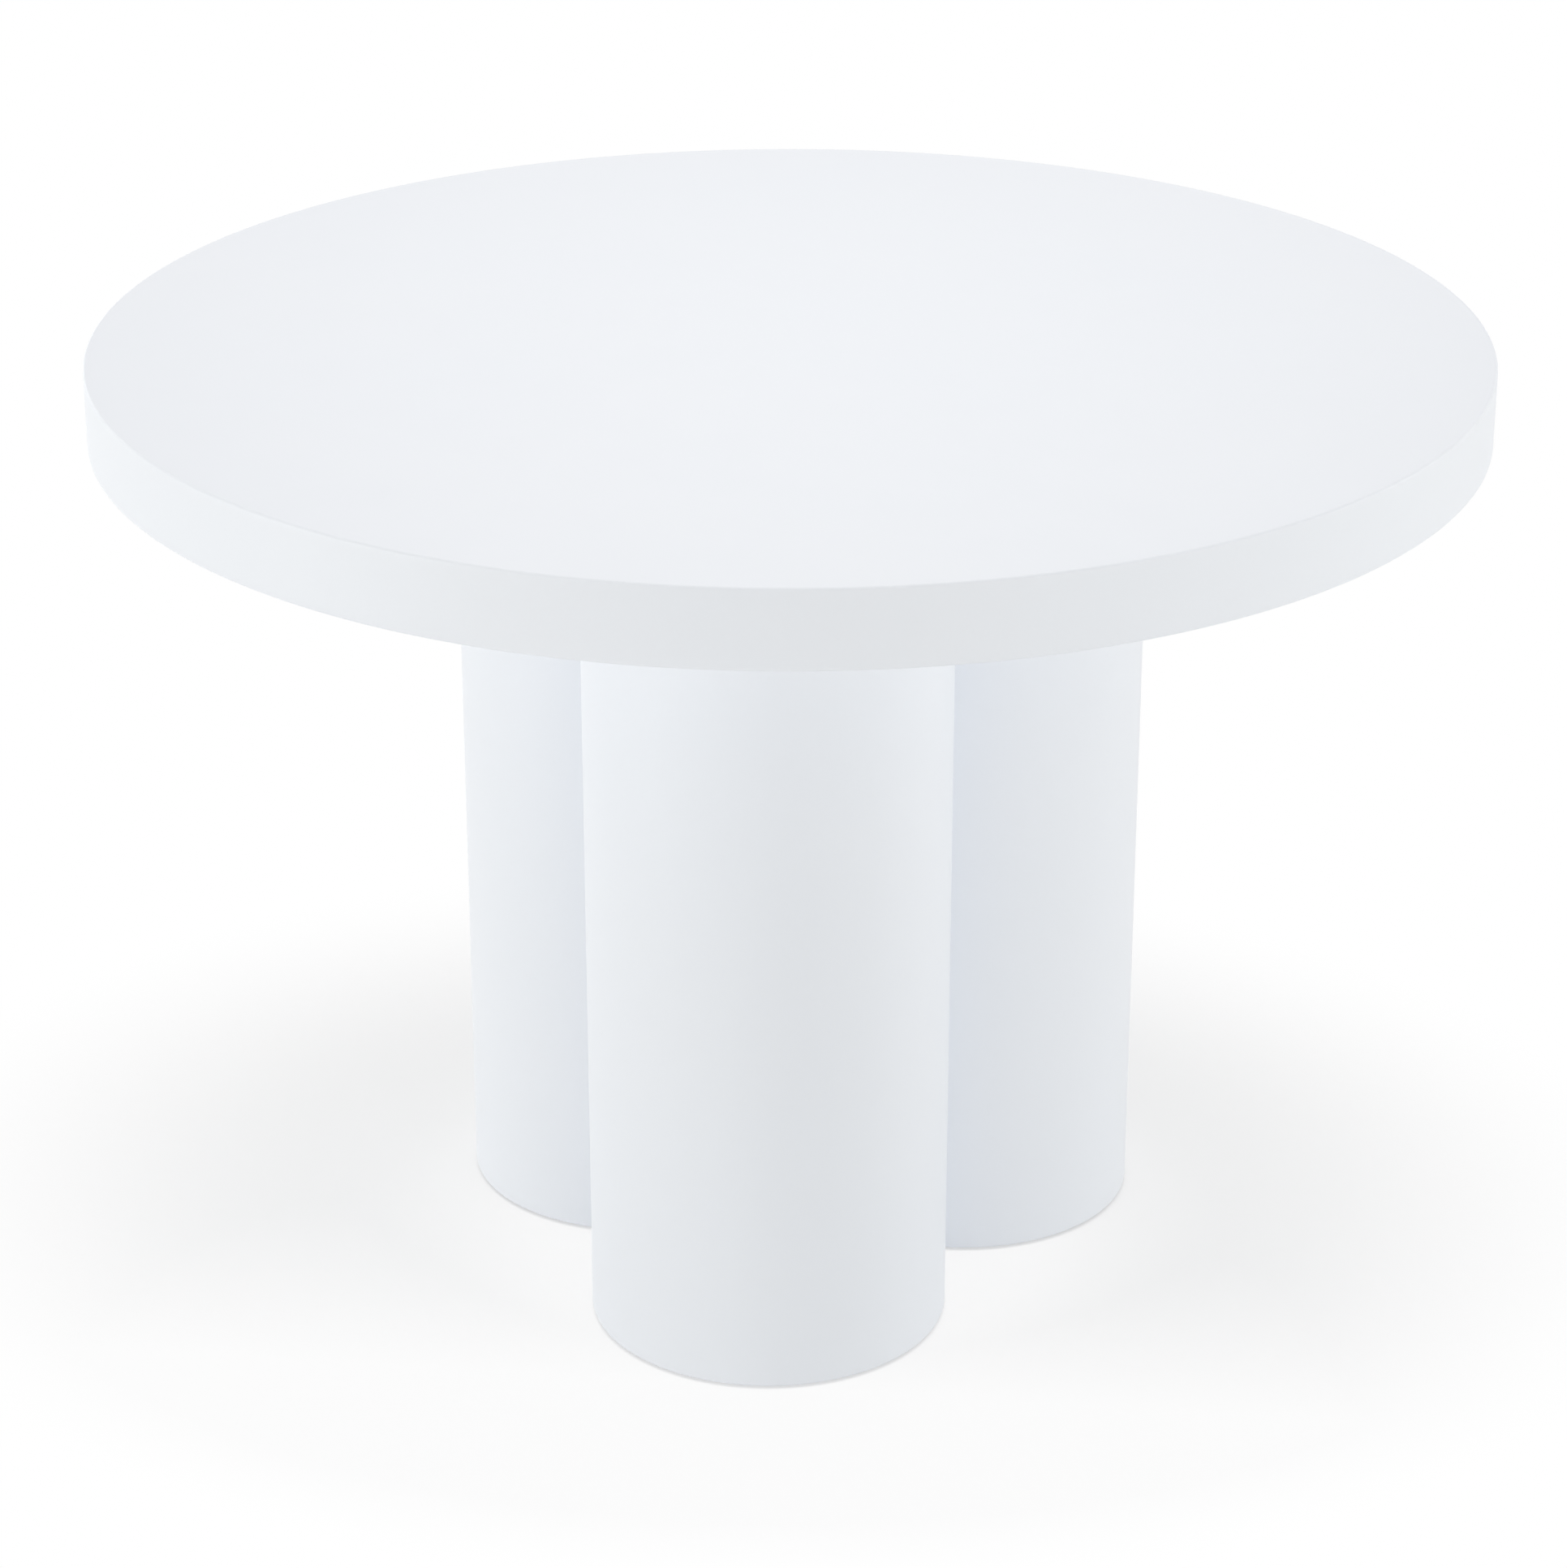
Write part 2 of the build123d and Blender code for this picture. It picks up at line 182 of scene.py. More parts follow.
@dataclass(frozen=True)
class Finish:
    """Surface of two shades that drift into each other, with a grain that breaks its sheen."""

    name: str
    light: str
    dark: str
    drift: Pattern  # from shade to shade
    sheen: Pattern  # from the lowest roughness to the highest
    grain: Pattern
    grain_depth: float
    grain_strength: float
    roughness: Span
    metallic: float = 0.0
    ior: float = 1.5

    def place(self, tree: NodeTree) -> Source:
        """Coordinates that the patterns are drawn in."""
        return add_node(tree, "ShaderNodeTexCoord").outputs["Object"]

    def shade(self, tree: NodeTree, drift: Source, grain: Source) -> Source:
        """Colour of a point: the drift leads from shade to shade, and a grain can add its own."""
        colours = {"Factor": drift, MIX_A: linear(self.light), MIX_B: linear(self.dark)}
        return add_node(tree, "ShaderNodeMix", colours, data_type="RGBA").outputs[MIXED]

    def height(self, tree: NodeTree, place: Source, grain: Source) -> Source:
        """Height of the surface at a point, as a share of the grain's depth."""
        return grain

    def material(self) -> Material:
        """Build the finish's material.

        Returns:
            The material, with its tree filled in.
        """
        material, tree = new_material(self.name)
        place = self.place(tree)
        noise = {
            pattern: add_node(
                tree,
                "ShaderNodeTexNoise",
                {"Vector": place, "Scale": 1 / pattern.size, "Detail": pattern.detail},
            )
            for pattern in dict.fromkeys((self.drift, self.sheen, self.grain))
        }
        low, high = self.roughness
        roughness = add_node(
            tree, "ShaderNodeMapRange", {"Value": noise[self.sheen], "To Min": low, "To Max": high}
        )
        bump = add_node(
            tree,
            "ShaderNodeBump",
            {
                "Height": self.height(tree, place, noise[self.grain]),
                "Distance": self.grain_depth,
                "Strength": self.grain_strength,
            },
        )
        surface = add_node(
            tree,
            "ShaderNodeBsdfPrincipled",
            {
                "Base Color": self.shade(tree, noise[self.drift], noise[self.grain]),
                "Metallic": self.metallic,
                "Roughness": roughness,
                "IOR": self.ior,
                "Normal": bump,
            },
        )
        add_node(tree, "ShaderNodeOutputMaterial", {"Surface": surface})
        return material


@dataclass(frozen=True)
class SatinLacquer(Finish):
    """White polyurethane lacquer, sprayed on sanded fibreboard and left satin.

    The eye sees a cool white that hardly varies, a soft sheen without clear reflections, and from
    close by the faint orange peel of a sprayed coat.
    """

    name: str = "satin_polyurethane_lacquer"
    light: str = "#F1F3F7"
    dark: str = "#EFF2F7"
    drift: Pattern = Pattern(260 * MM, 2.0)  # slow change of shade across a panel
    sheen: Pattern = Pattern(45 * MM, 4.0)  # where the last coat was rubbed down
    grain: Pattern = Pattern(3.5 * MM, 1.0)  # peel of about 2 mm, drawn a little coarser to show
    grain_depth: float = 0.006 * MM
    grain_strength: float = 1.0
    roughness: Span = (0.44, 0.52)
    nib_size: float = 0.9 * MM  # fine dust nibs under the last coat
    nib_share: float = 0.15  # of the peel's depth

    def height(self, tree: NodeTree, place: Source, grain: Source) -> Source:
        """Height of the surface: the peel, with the nibs on it.

        Args:
            tree: The material's tree.
            place: Coordinates that the patterns are drawn in.
            grain: Noise of the peel.

        Returns:
            The height, as a share of the peel's depth.
        """
        spots = {"Vector": place, "Scale": 1 / self.nib_size, "Detail": 0.0}
        nibs = add_node(tree, "ShaderNodeTexNoise", spots)
        added = {0: nibs, 1: self.nib_share, 2: grain}
        return add_node(tree, MATH, added, operation="MULTIPLY_ADD")


@dataclass(frozen=True)
class BareFibreboard(Finish):
    """Medium density fibreboard, sawn and left bare where nobody looks.

    The eye sees a matte tan felt of pressed fibres with darker flecks.
    """

    name: str = "medium_density_fibreboard"
    light: str = "#C2A27B"
    dark: str = "#A3825B"
    drift: Pattern = Pattern(6 * MM, 5.0)
    sheen: Pattern = Pattern(6 * MM, 5.0)
    grain: Pattern = Pattern(1.1 * MM, 3.0)  # fibres are finer; drawn coarser to show
    grain_depth: float = 0.05 * MM
    grain_strength: float = 0.7
    roughness: Span = (0.86, 0.94)
    fleck: str = "#6E5136"
    fleck_rise: Span = (0.62, 0.74)  # of the fibres' noise, from felt to fleck
    fleck_share: float = 0.55

    def shade(self, tree: NodeTree, drift: Source, grain: Source) -> Source:
        """Colour of the felt, with flecks on the highest fibres.

        Args:
            tree: The material's tree.
            drift: Noise that leads from shade to shade.
            grain: Noise of the fibres.

        Returns:
            The colour.
        """
        felt = super().shade(tree, drift, grain)
        low, high = self.fleck_rise
        flecks = add_node(
            tree,
            "ShaderNodeMapRange",
            {"Value": grain, "From Min": low, "From Max": high, "To Max": self.fleck_share},
        )
        colours = {"Factor": flecks, MIX_A: felt, MIX_B: linear(self.fleck)}
        return add_node(tree, "ShaderNodeMix", colours, data_type="RGBA").outputs[MIXED]


@dataclass(frozen=True)
class TurnedBeech(Finish):
    """Beech dowel, turned along the grain.

    The eye sees a pale pinkish wood with fine lengthwise streaks and short dark rays.
    """

    name: str = "turned_beech"
    light: str = "#DDBB92"
    dark: str = "#C79F73"
    drift: Pattern = Pattern(1.2 * MM, 4.0)
    sheen: Pattern = Pattern(1.2 * MM, 4.0)
    grain: Pattern = Pattern(1.2 * MM, 4.0)
    grain_depth: float = 0.04 * MM
    grain_strength: float = 0.6
    roughness: Span = (0.57, 0.67)
    streak_length: float = 25 * MM

    def place(self, tree: NodeTree) -> Source:
        """Where a point of the dowel lies, drawn out along the grain.

        Args:
            tree: The material's tree.

        Returns:
            Coordinates in which a streak is as long as it is wide.
        """
        stretch = (1.0, 1.0, self.grain.size / self.streak_length)
        drawn = {"Vector": super().place(tree), "Scale": stretch}
        return add_node(tree, "ShaderNodeMapping", drawn)


@dataclass(frozen=True)
class ZincPlatedSteel(Finish):
    """Rolled and machined steel, zinc plated and passivated clear.

    The eye sees a bright bluish grey metal with a cloudy, slightly brushed sheen.
    """

    name: str = "zinc_plated_steel"
    light: str = "#D3D6DA"
    dark: str = "#B4BAC3"
    drift: Pattern = Pattern(4 * MM, 4.0)
    sheen: Pattern = Pattern(4 * MM, 4.0)
    grain: Pattern = Pattern(0.5 * MM, 2.0)
    grain_depth: float = 0.01 * MM
    grain_strength: float = 0.5
    roughness: Span = (0.26, 0.44)
    metallic: float = 1.0


@dataclass(frozen=True)
class MouldedNylon(Finish):
    """Grey nylon, injection moulded in a spark-eroded tool.

    The eye sees a dull, slightly waxy grey with a fine even grain.
    """

    name: str = "moulded_grey_nylon"
    light: str = "#63676B"
    dark: str = "#54585C"
    drift: Pattern = Pattern(9 * MM, 2.0)
    sheen: Pattern = Pattern(0.6 * MM, 1.0)
    grain: Pattern = Pattern(0.6 * MM, 1.0)  # spark erosion is finer; drawn coarser to show
    grain_depth: float = 0.03 * MM
    grain_strength: float = 0.6
    roughness: Span = (0.48, 0.6)
    ior: float = 1.53


def arc(centre: Point, radius: float, start: float, end: float, steps: int) -> list[Point]:
    """Points of a circular arc in a section.

    Args:
        centre: Middle of the arc, as radius and level.
        radius: Size of the arc.
        start: Angle of the first point, in degrees from the outward direction.
        end: Angle of the last point.
        steps: Number of equal steps.

    Returns:
        The points from the first to the last.
    """
    angles = [math.radians(start + (end - start) * step / steps) for step in range(steps + 1)]
    return [
        (centre[0] + radius * math.cos(angle), centre[1] + radius * math.sin(angle)) for angle in angles
    ]


@dataclass(frozen=True)
class Flats:
    """Flats planed or milled on a turned part, a hexagon unless it says otherwise."""

    distance: float  # from the axis
    count: int = HEX_SIDES
    first: float = 0.0  # direction of the first flat, in degrees
    turn: float = 360 / HEX_SIDES  # from one flat to the next

    @property
    def last(self) -> int:
        """Number of the last flat, counted from 0: round a full turn it is the first one again."""
        return self.count if self.count * self.turn == 360 else self.count - 1


@dataclass(frozen=True)
class Thread:
    """Right-hand screw thread on a turned part."""

    pitch: float
    bottom: float
    top: float
    rows_per_turn: int = 8
    depth_share: float = 0.61  # of the pitch, in metric threads

    @property
    def depth(self) -> float:
        """Height of the thread from root to crest."""
        return self.depth_share * self.pitch

    def levels(self) -> list[float]:
        """Levels of the rows that draw the thread, from the top down."""
        count = math.ceil((self.top - self.bottom) / self.pitch * self.rows_per_turn)
        return [self.top - (self.top - self.bottom) * row / count for row in range(count + 1)]


@dataclass(frozen=True)
class TurnedPart:
    """A section swept round an upright axis, with flats and a thread where it has them.

    The section starts on the upper side, goes outwards, down the outside and back, so that the
    faces point outwards.
    """

    section: Sequence[Point]
    segments: int
    flats: Flats | None = None
    thread: Thread | None = None

    def mesh(
        self,
        lathe: "LatheTree",
        name: str,
        material: Material,
        place: Sequence[float] = ORIGIN,
        turn: float = 0.0,
    ) -> Mesh:
        """Sweep the section and set the result in its place.

        Args:
            lathe: Tree that does the sweeping.
            name: Name of the mesh.
            material: Finish of the part.
            place: Foot of the part's axis.
            turn: Turn of the part about its axis, in degrees.

        Returns:
            The finished mesh.
        """
        values: dict[str, Any] = {"Segments": self.segments, "Place": place, "Turn": math.radians(turn)}
        if self.flats:
            values["Flat Distance"] = self.flats.distance
            values["Last Flat"] = self.flats.last
            values["First Flat"] = math.radians(self.flats.first)
            values["Flat Turn"] = math.radians(self.flats.turn)
        if self.thread:
            values["Pitch"] = self.thread.pitch
            values["Thread Depth"] = self.thread.depth
            values["Thread Bottom"] = self.thread.bottom
            values["Thread Top"] = self.thread.top
        outline = bpy.data.meshes.new(name)
        outline.from_pydata([(radius, 0, level) for radius, level in self.section], [], [])
        return lathe.run(outline, {**values, "Material": material})


class NodeTool:
    """A Geometry Nodes tree that turns a mesh into a finished one."""

    NAME = "tool"
    INPUTS: Mapping[str, tuple[str, Any]] = {}
    SMOOTH_BELOW = math.radians(30)  # edges that turn more than this stay crisp
    WELD = 0.001 * MM  # points this close are one

    def __init__(self) -> None:
        """Make the tree with its named inputs, and fill it."""
        self.tree = bpy.data.node_groups.new(self.NAME, "GeometryNodeTree")
        interface = self.tree.interface
        interface.new_socket("Geometry", in_out="INPUT", socket_type="NodeSocketGeometry")
        self.identifiers: dict[str, str] = {}
        for name, (socket_type, default) in self.INPUTS.items():
            socket = interface.new_socket(name, in_out="INPUT", socket_type=socket_type)
            if default is not None:
                socket.default_value = default
            self.identifiers[name] = socket.identifier
        interface.new_socket("Geometry", in_out="OUTPUT", socket_type="NodeSocketGeometry")
        self.values = add_node(self.tree, "NodeGroupInput").outputs
        self.fill()

    def fill(self) -> None:
        """Add the nodes that make the shape."""
        raise NotImplementedError

    def close(self, geometry: Source) -> None:
        """Weld, smooth, realize and dress a shape, and pass it out of the tree.

        Args:
            geometry: The shape as it was made.
        """
        tree = self.tree
        welded = add_node(
            tree, "GeometryNodeMergeByDistance", {"Geometry": geometry, "Distance": self.WELD}
        )
        smooth = add_node(tree, "GeometryNodeSetShadeSmooth", {"Geometry": welded, "Shade Smooth": True})
        bend = add_node(tree, "GeometryNodeInputMeshEdgeAngle")
        sharp = add_node(
            tree,
            "FunctionNodeCompare",
            {0: bend, 1: self.SMOOTH_BELOW},
            data_type="FLOAT",
            operation="GREATER_THAN",
        )
        crisp = add_node(
            tree,
            "GeometryNodeSetShadeSmooth",
            {"Geometry": smooth, "Selection": sharp, "Shade Smooth": False},
            domain="EDGE",
        )
        whole = add_node(tree, "GeometryNodeRealizeInstances", {"Geometry": crisp})
        dressed = add_node(
            tree, "GeometryNodeSetMaterial", {"Geometry": whole, "Material": self.values["Material"]}
        )
        add_node(tree, "NodeGroupOutput", {"Geometry": dressed})

    def run(self, mesh: Mesh, values: Mapping[str, Any]) -> Mesh:
        """Run the tree on a mesh.

        Args:
            mesh: What the tree starts from.
            values: Inputs of the tree by name.

        Returns:
            The result as a plain mesh, under the name of the one it started from.
        """
        name = mesh.name
        holder = bpy.data.objects.new(name, mesh)
        bpy.context.scene.collection.objects.link(holder)
        modifier = holder.modifiers.new(self.NAME, "NODES")
        modifier.node_group = self.tree
        for key, value in values.items():
            modifier[self.identifiers[key]] = value
        graph = bpy.context.evaluated_depsgraph_get()
        result = bpy.data.meshes.new_from_object(holder.evaluated_get(graph), depsgraph=graph)
        holder.modifiers.remove(modifier)
        bpy.data.objects.remove(holder)
        bpy.data.meshes.remove(mesh)
        result.name = name
        if result.materials[0] is None:  # a new grid comes with an empty slot
            result.materials.pop(index=0)
        return result


class LatheTree(NodeTool):
    """Sweeps a section round an upright axis, planes flats on it and cuts a thread into it."""

    NAME = "lathe"
    NO_FLAT = 10.0  # farther out than any part reaches
    INPUTS = {
        "Segments": ("NodeSocketInt", 64),
        "Flat Distance": ("NodeSocketFloat", NO_FLAT),
        "Last Flat": ("NodeSocketInt", 0),
        "First Flat": ("NodeSocketFloat", 0.0),
        "Flat Turn": ("NodeSocketFloat", 1.0),
        "Pitch": ("NodeSocketFloat", 1.0),
        "Thread Depth": ("NodeSocketFloat", 0.0),
        "Thread Bottom": ("NodeSocketFloat", 0.0),
        "Thread Top": ("NodeSocketFloat", 0.0),
        "Place": ("NodeSocketVector", ORIGIN),
        "Turn": ("NodeSocketFloat", 0.0),
        "Material": ("NodeSocketMaterial", None),
    }
    LEAST_COSINE = 0.2  # a flat stops acting beyond this cosine of the turn from it

    def fill(self) -> None:
        """Wrap a grid round the axis, one row of it for each point of the section."""
        tree = self.tree
        values = self.values
        count = add_node(
            tree, "GeometryNodeAttributeDomainSize", {"Geometry": values["Geometry"]}, component="MESH"
        ).outputs["Point Count"]
        steps = add_node(tree, MATH, {0: count, 1: 1.0}, operation="SUBTRACT")
        around = add_node(tree, MATH, {0: values["Segments"], 1: 1.0}, operation="ADD")
        grid = add_node(
            tree,
            "GeometryNodeMeshGrid",
            {"Size X": steps, "Size Y": 1.0, "Vertices X": count, "Vertices Y": around},
        )
        position = add_node(tree, "GeometryNodeInputPosition")
        where = add_node(tree, "ShaderNodeSeparateXYZ", {0: position}).outputs
        # The grid lies about the origin, so rows and turn are counted from half its size to one side.
        row = add_node(tree, MATH, {0: steps, 1: 0.5, 2: where["X"]}, operation="MULTIPLY_ADD")
        index = add_node(tree, MATH, {0: row}, operation="ROUND")
        point = add_node(
            tree,
            "GeometryNodeSampleIndex",
            {"Geometry": values["Geometry"], "Value": position, "Index": index},
            data_type="FLOAT_VECTOR",
            domain="POINT",
        )
        section = add_node(tree, "ShaderNodeSeparateXYZ", {0: point}).outputs
        angle = add_node(tree, MATH, {0: where["Y"], 1: math.tau, 2: math.pi}, operation="MULTIPLY_ADD")
        planed = add_node(tree, MATH, {0: section["X"], 1: self.flat_limit(angle)}, operation="MINIMUM")
        cut = self.thread_cut(angle, section["Z"])
        radius = add_node(tree, MATH, {0: planed, 1: cut}, operation="SUBTRACT")
        spoke = add_node(tree, "ShaderNodeCombineXYZ", {"X": radius, "Z": section["Z"]})
        swept = add_node(
            tree, "ShaderNodeVectorRotate", {"Vector": spoke, "Angle": angle}, rotation_type="Z_AXIS"
        )
        shape = add_node(tree, "GeometryNodeSetPosition", {"Geometry": grid, "Position": swept})
        turn = add_node(tree, "ShaderNodeCombineXYZ", {"Z": values["Turn"]})
        placed = add_node(
            tree,
            "GeometryNodeTransform",
            {"Geometry": shape, "Translation": values["Place"], "Rotation": turn},
        )
        self.close(placed)

    def flat_limit(self, angle: Source) -> Source:
        """Distance from the axis to the nearest flat, in a given direction.

        Args:
            angle: Direction from the axis.

        Returns:
            The distance, far out where no flat faces that way.
        """
        tree = self.tree
        values = self.values
        past_first = add_node(tree, MATH, {0: angle, 1: values["First Flat"]}, operation="SUBTRACT")
        turns = add_node(tree, MATH, {0: past_first, 1: values["Flat Turn"]}, operation="DIVIDE")
        nearest = add_node(tree, MATH, {0: turns}, operation="ROUND")
        number = add_node(
            tree, "ShaderNodeClamp", {"Value": nearest, "Min": 0.0, "Max": values["Last Flat"]}
        )
        flat_angle = add_node(tree, MATH, {0: number, 1: values["Flat Turn"]}, operation="MULTIPLY")
        away = add_node(tree, MATH, {0: past_first, 1: flat_angle}, operation="SUBTRACT")
        cosine = add_node(tree, MATH, {0: away}, operation="COSINE")
        facing = add_node(tree, MATH, {0: cosine, 1: self.LEAST_COSINE}, operation="MAXIMUM")
        return add_node(tree, MATH, {0: values["Flat Distance"], 1: facing}, operation="DIVIDE")

    def thread_cut(self, angle: Source, level: Source) -> Source:
        """Depth of the thread at a place on the part.

        Args:
            angle: Direction from the axis.
            level: Height of the place.

        Returns:
            How far the surface lies in from the crest.
        """
        tree = self.tree
        values = self.values
        climbed = add_node(tree, MATH, {0: level, 1: values["Pitch"]}, operation="DIVIDE")
        turned = add_node(tree, MATH, {0: angle, 1: math.tau}, operation="DIVIDE")
        phase = add_node(tree, MATH, {0: climbed, 1: turned}, operation="SUBTRACT")
        # The wave goes from nothing to a half and back, so the full cut is twice the thread's depth.
        wave = add_node(tree, MATH, {0: phase, 1: 0.5}, operation="PINGPONG")
        above = add_node(tree, MATH, {0: level, 1: values["Thread Bottom"]}, operation="GREATER_THAN")
        below = add_node(tree, MATH, {0: level, 1: values["Thread Top"]}, operation="LESS_THAN")
        threaded = add_node(tree, MATH, {0: above, 1: below}, operation="MULTIPLY")
        full = add_node(tree, MATH, {0: values["Thread Depth"], 1: 2.0}, operation="MULTIPLY")
        cut = add_node(tree, MATH, {0: wave, 1: full}, operation="MULTIPLY")
        return add_node(tree, MATH, {0: cut, 1: threaded}, operation="MULTIPLY")


class SettingOutTree(NodeTool):
    """Sets copies of a part out in a ring about each column's axis, at every column."""

    NAME = "setting_out"
    INPUTS = {
        "Per Column": ("NodeSocketInt", 1),
        "Ring Radius": ("NodeSocketFloat", 0.0),
        "Columns": ("NodeSocketInt", len(ColumnName)),
        "Column Radius": ("NodeSocketFloat", 0.0),
        "First Column": ("NodeSocketFloat", 0.0),
        "Material": ("NodeSocketMaterial", None),
    }

    def fill(self) -> None:
        """Copy the part round a column, then the ring of copies to every column."""
        values = self.values
        ring = self.ring(values["Geometry"], values["Per Column"], values["Ring Radius"], 0.0)
        self.close(self.ring(ring, values["Columns"], values["Column Radius"], values["First Column"]))

    def ring(self, part: Source, count: Source, radius: Source, first: Source | float) -> Source:
        """Copies of a part in a ring about the axis, each turned to face outwards.

        Args:
            part: What is copied.
            count: Number of copies.
            radius: Size of the ring.
            first: Direction of the first copy.

        Returns:
            The copies, as instances.
        """
        tree = self.tree
        index = add_node(tree, "GeometryNodeInputIndex")
        share = add_node(tree, MATH, {0: index, 1: count}, operation="DIVIDE")
        angle = add_node(tree, MATH, {0: share, 1: math.tau, 2: first}, operation="MULTIPLY_ADD")
        spoke = add_node(tree, "ShaderNodeCombineXYZ", {"X": radius})
        place = add_node(
            tree, "ShaderNodeVectorRotate", {"Vector": spoke, "Angle": angle}, rotation_type="Z_AXIS"
        )
        points = add_node(tree, "GeometryNodePoints", {"Count": count, "Position": place})
        turn = add_node(tree, "ShaderNodeCombineXYZ", {"Z": angle})
        return add_node(
            tree, "GeometryNodeInstanceOnPoints", {"Points": points, "Instance": part, "Rotation": turn}
        )


@dataclass(frozen=True)
class Workshop:
    """The tools and finishes that every sub-assembly uses."""

    lathe: LatheTree
    setting_out: SettingOutTree
    finishes: dict[Slot, Material]

    def place_piece(self, mesh: Mesh, body: str, nodes: Iterable[str]) -> None:
        """Put a finished mesh in the scene as a piece of the object.

        Args:
            mesh: The piece's mesh, whose name it takes.
            body: Body that it moves with.
            nodes: CAD nodes that it stands for.
        """
        piece = bpy.data.objects.new(mesh.name, mesh)
        bpy.context.scene.collection.objects.link(piece)
        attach(piece, body)
        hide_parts(*nodes)
        LOG.info("%s: %d faces, on %s", piece.name, len(mesh.polygons), body)


@dataclass(frozen=True)
class TableTop:
    """Thick round top: an upper panel on a hoop, closed from below by a panel inside the hoop."""

    radius: float
    top: float
    seam: float  # between the panel and the hoop, filled and lacquered over
    bottom: float
    hoop_inner: float
    edge_round: float = 2 * MM
    edge_steps: int = 8
    support: float = 3 * MM  # from a rounded edge to the next row of faces
    inner_rings: tuple[float, ...] = (0.2, 0.4, 0.6, 0.8, 0.93)
    segments: int = 512

    @classmethod
    def from_frame(cls) -> "TableTop":
        """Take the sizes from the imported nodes.

        Returns:
            The top.
        """
        panel_low, panel_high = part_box("top_panel")
        hoop_low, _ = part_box("rim_hoop")
        _, underside_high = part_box("underside_panel")
        return cls(
            radius=panel_high.x,
            top=panel_high.z,
            seam=panel_low.z,
            bottom=hoop_low.z,
            hoop_inner=underside_high.x + GLUE_LINE,
        )

    def panel(self) -> TurnedPart:
        """Upper panel, eased along its upper edge.

        Returns:
            The panel, on the table's axis.
        """
        rings = [share * self.radius for share in self.inner_rings]
        edge = (self.radius - self.edge_round, self.top - self.edge_round)
        section = [(0.0, self.top)]
        section += [(ring, self.top) for ring in rings]
        section += [(edge[0] - self.support, self.top)]
        section += arc(edge, self.edge_round, 90, 0, self.edge_steps)
        section += [(self.radius, edge[1] - self.support), (self.radius, self.seam)]
        section += [(ring, self.seam) for ring in reversed(rings)]
        section += [(0.0, self.seam)]
        return TurnedPart(section, self.segments)

    def hoop(self) -> TurnedPart:
        """Hoop under the panel, eased along its lower edge.

        Returns:
            The hoop, on the table's axis.
        """
        edge = (self.radius - self.edge_round, self.bottom + self.edge_round)
        section = [(self.hoop_inner, self.seam), (self.radius, self.seam)]
        section += [(self.radius, edge[1] + self.support)]
        section += arc(edge, self.edge_round, 0, -90, self.edge_steps)
        section += [(edge[0] - self.support, self.bottom), (self.hoop_inner, self.bottom)]
        section += [(self.hoop_inner, self.seam)]
        return TurnedPart(section, self.segments)

    def build(self, workshop: Workshop) -> None:
        """Make the shown pieces of the top.

        Args:
            workshop: Tools and finishes to make them with.
        """
        lacquer = workshop.finishes[Slot.LACQUER]
        for name, part, node in (
            ("lacquered_panel", self.panel(), "top_panel"),
            ("lacquered_hoop", self.hoop(), "rim_hoop"),
        ):
            mesh = part.mesh(workshop.lathe, name, lacquer)
            workshop.place_piece(mesh, TABLE_BODY, [node])


@dataclass(frozen=True)
class ColumnShell:
    """Round tube of a column, with two planed flats that butt against its neighbours."""

    name: ColumnName
    axis: Vector
    radius: float
    bore: float
    bottom: float
    top: float
    edge_round: float = 1.5 * MM
    edge_steps: int = 8
    support: float = 3 * MM
    wall_rows: int = 8
    segments: int = 360
    neighbour_turn: float = 150.0  # from the outward direction to each neighbour, in degrees
    joint_line: float = 0.2 * MM

    @classmethod
    def from_frame(cls, name: ColumnName) -> "ColumnShell":
        """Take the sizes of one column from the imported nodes.

        Args:
            name: Which column it is.

        Returns:
            The column's shell.
        """
        plug_low, plug_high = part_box(f"foot_plug_{name.value}")
        shell_low, shell_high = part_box(f"column_shell_{name.value}")
        front_low, front_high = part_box("column_shell_front")
        middle = (plug_low + plug_high) / 2
        return cls(
            name=name,
            axis=Vector((middle.x, middle.y, 0)),
            radius=(front_high.x - front_low.x) / 2,
            bore=(plug_high.x - plug_low.x) / 2 + GLUE_LINE,
            bottom=shell_low.z,
            top=shell_high.z,
        )

    @property
    def outward(self) -> float:
        """Direction from the table's axis to the column's, in degrees."""
        return math.degrees(math.atan2(self.axis.y, self.axis.x))

    @property
    def flats(self) -> Flats:
        """The flats, half way to the neighbours' axes but for the hairline that shows in the joint."""
        half_way = self.axis.length * math.sin(math.pi / len(ColumnName))
        return Flats(
            half_way - self.joint_line / 2,
            count=2,
            first=self.neighbour_turn,
            turn=360 - 2 * self.neighbour_turn,
        )

    def shell(self) -> TurnedPart:
        """Tube, eased along its lower outer edge.

        Returns:
            The tube, with its outward direction along +X.
        """
        edge = (self.radius - self.edge_round, self.bottom + self.edge_round)
        foot = edge[1] + self.support
        rows = [self.top - (self.top - foot) * row / self.wall_rows for row in range(self.wall_rows + 1)]
        section = [(self.bore, self.top)]
        section += [(self.radius, level) for level in rows]
        section += arc(edge, self.edge_round, 0, -90, self.edge_steps)
        section += [(self.bore, self.bottom)]
        section += [(self.bore, level) for level in reversed(rows)]
        return TurnedPart(section, self.segments, flats=self.flats)

    def build(self, workshop: Workshop) -> None:
        """Make the column's shell.

        Args:
            workshop: Tools and finishes to make it with.
        """
        mesh = self.shell().mesh(
            workshop.lathe,
            f"lacquered_column_{self.name.value}",
            workshop.finishes[Slot.LACQUER],
            self.axis,
            self.outward,
        )
        node = f"column_shell_{self.name.value}"
        workshop.place_piece(mesh, TABLE_BODY, [node])


